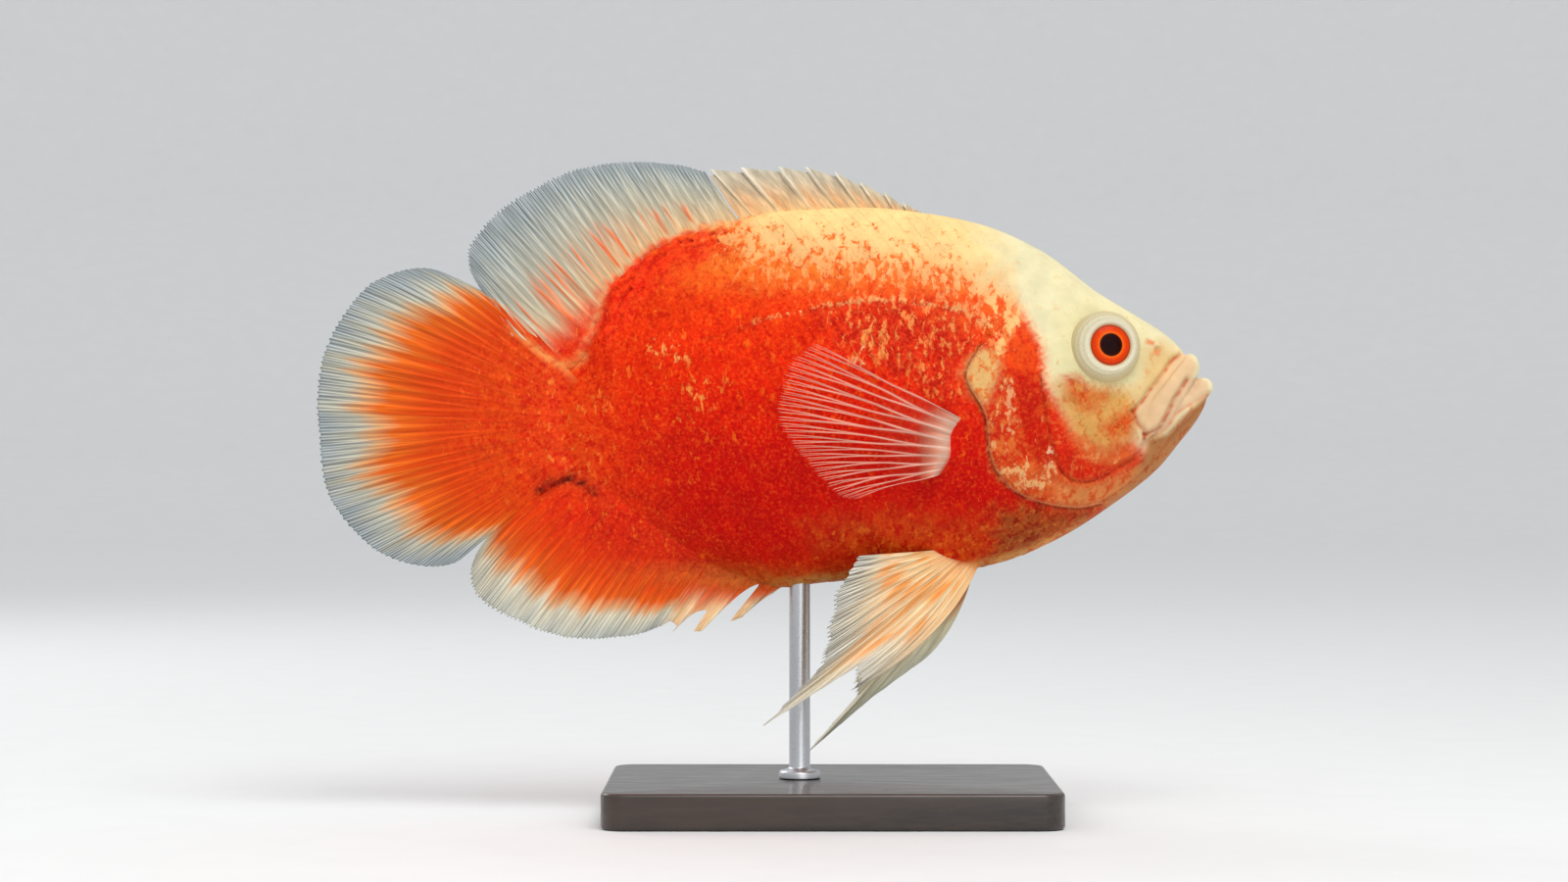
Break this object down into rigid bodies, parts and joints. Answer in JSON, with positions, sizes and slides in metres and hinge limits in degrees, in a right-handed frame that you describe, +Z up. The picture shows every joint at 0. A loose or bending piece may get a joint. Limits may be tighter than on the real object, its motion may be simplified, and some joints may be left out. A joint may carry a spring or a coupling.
{
  "type": "oscar fish",
  "caption": "Life-size still model of a red oscar fish with spread fins, held above a flat wooden base by one steel rod.",
  "frame": {"origin": "on the floor, under the middle of the fish's whole length and on its middle plane", "axes": "+X towards the fish's snout, +Y towards the fish's left side, +Z up"},
  "size_m": [0.3008, 0.112, 0.2194],
  "materials": {
    "red_skin": "painted resin with a wet satin gloss, orange-red to crimson",
    "pale_skin": "painted resin with a wet satin gloss, cream with orange blotches on the cheek",
    "gill_cover": "painted resin with a wet satin gloss, orange with cream patches",
    "lip": "smooth satin",
    "eye": "clear gloss over a pale ring, an orange iris and a dark pupil",
    "fin": "satin, orange near the body and grey-white at the margin",
    "pale_fin": "satin, partly clear",
    "wood": "dark satin stain",
    "steel": "satin"
  },
  "bodies": {
    "root": {"head": "pale_skin", "gill_cover_right": "gill_cover", "gill_cover_left": "gill_cover", "eye_right": "eye", "eye_left": "eye", "upper_lip": "lip", "lower_lip": "lip", "torso": "red_skin", "tail_stalk": "red_skin", "dorsal_fin_spines": "pale_fin", "dorsal_fin_soft": "fin", "anal_fin": "fin", "caudal_fin": "fin", "pectoral_fin_right": "pale_fin", "pectoral_fin_left": "pale_fin", "pelvic_fin_right": "pale_fin", "pelvic_fin_left": "pale_fin", "stand_base": "wood", "stand_rod": "steel"}
  },
  "joints": []
}
